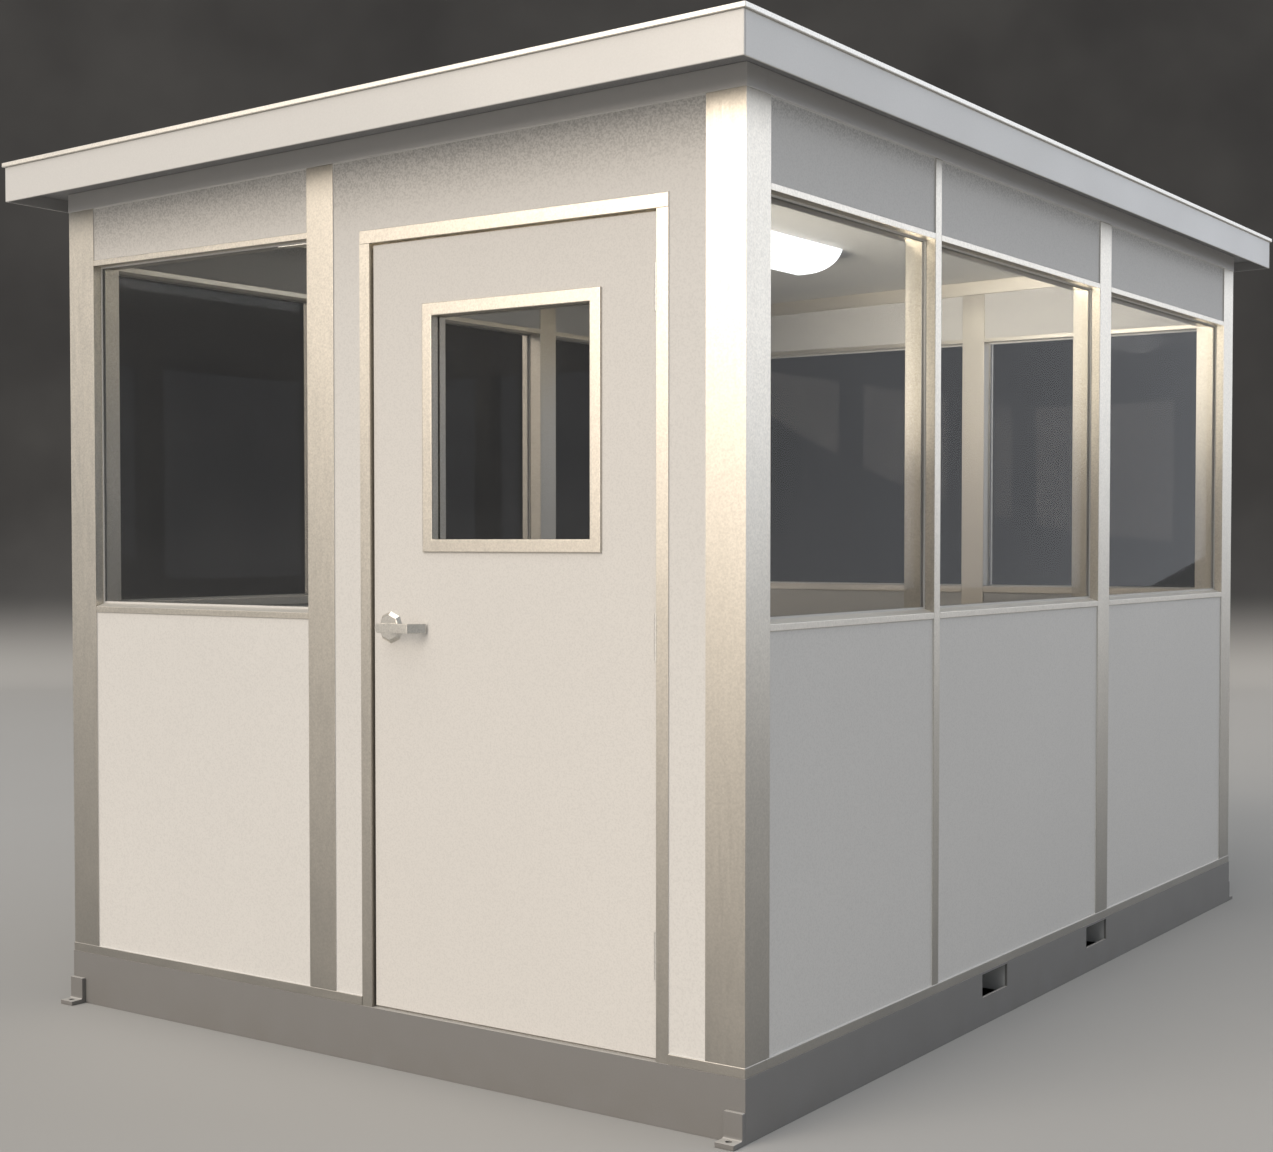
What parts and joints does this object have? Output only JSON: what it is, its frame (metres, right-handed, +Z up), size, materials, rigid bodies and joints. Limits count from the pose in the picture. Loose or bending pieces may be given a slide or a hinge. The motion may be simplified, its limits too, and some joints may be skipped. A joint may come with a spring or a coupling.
{
  "type": "security guard booth",
  "caption": "Prefabricated rectangular guard booth on a steel skid with fork pockets, glazed panelled walls, an out-swinging door with a lite and lever, and a low-slope lid roof.",
  "frame": {"origin": "on the ground under the middle of the booth", "axes": "+Z up, +X to the right along the front wall, -Y out of the front wall with the door"},
  "size_m": [2.591, 3.926, 2.5811],
  "materials": {
    "base_steel": "satin grey paint on steel",
    "floor_plate": "mill finish plate",
    "frame_aluminium": "clear anodised, satin",
    "wall_panel": "fine stucco texture, warm off-white",
    "window_glass": "clear",
    "roof_skin": "matte off-white ceiling skin",
    "roof_trim": "white satin paint",
    "drip_edge_metal": "bright satin sheet",
    "light_lens": "white diffuser",
    "gasket_rubber": "grey matte",
    "door_frame_metal": "clear anodised, satin",
    "door_paint": "warm off-white paint, fine grain",
    "hardware_steel": "satin"
  },
  "bodies": {
    "booth": {"base_end_rails": "base_steel", "base_side_rails": "base_steel", "pocket_bridges": "base_steel", "fork_pocket_plates": "base_steel", "floor_joists": "base_steel", "anchor_clips": "base_steel", "floor_deck": "floor_plate", "bottom_track_ends": "frame_aluminium", "bottom_track_sides": "frame_aluminium", "corner_posts": "frame_aluminium", "front_mid_post": "frame_aluminium", "rear_mid_post": "frame_aluminium", "side_mullions_right": "frame_aluminium", "side_mullions_left": "frame_aluminium", "end_window_rails": "frame_aluminium", "side_window_rails": "frame_aluminium", "top_band_ends": "frame_aluminium", "top_band_sides": "frame_aluminium", "end_gaskets": "gasket_rubber", "side_gaskets": "gasket_rubber", "front_lower_panel": "wall_panel", "front_upper_panel": "wall_panel", "door_side_panels": "wall_panel", "door_over_panel": "wall_panel", "side_lower_panels": "wall_panel", "side_upper_panels": "wall_panel", "rear_lower_panels": "wall_panel", "rear_upper_panels": "wall_panel", "front_glass": "window_glass", "right_glass": "window_glass", "left_glass": "window_glass", "rear_glass": "window_glass", "roof_panel": "roof_skin", "fascia_ends": "roof_trim", "fascia_sides": "roof_trim", "roof_cap": "drip_edge_metal", "ceiling_light": "light_lens", "door_jambs": "door_frame_metal", "door_head": "door_frame_metal", "hinges_frame": "hardware_steel"},
    "door": {"hinges_door": "hardware_steel", "door_leaf": "door_paint", "door_lite_frame": "door_frame_metal", "door_glass": "window_glass", "lock_roses": "hardware_steel"},
    "lever": {"door_lever": "hardware_steel"}
  },
  "joints": [
    {"name": "door_swing", "type": "hinge", "parent": "booth", "child": "door", "pos_m": [0.945, -1.792, 1.172], "axis": [0, 0, 1], "range_deg": [0, 100]},
    {"name": "lever_turn", "type": "hinge", "parent": "door", "child": "lever", "pos_m": [0.0925, -1.7645, 1.174], "axis": [0, 1, 0], "range_deg": [0, 45], "stiffness_Nm_per_rad": 1.5, "springref_deg": -28.65}
  ]
}
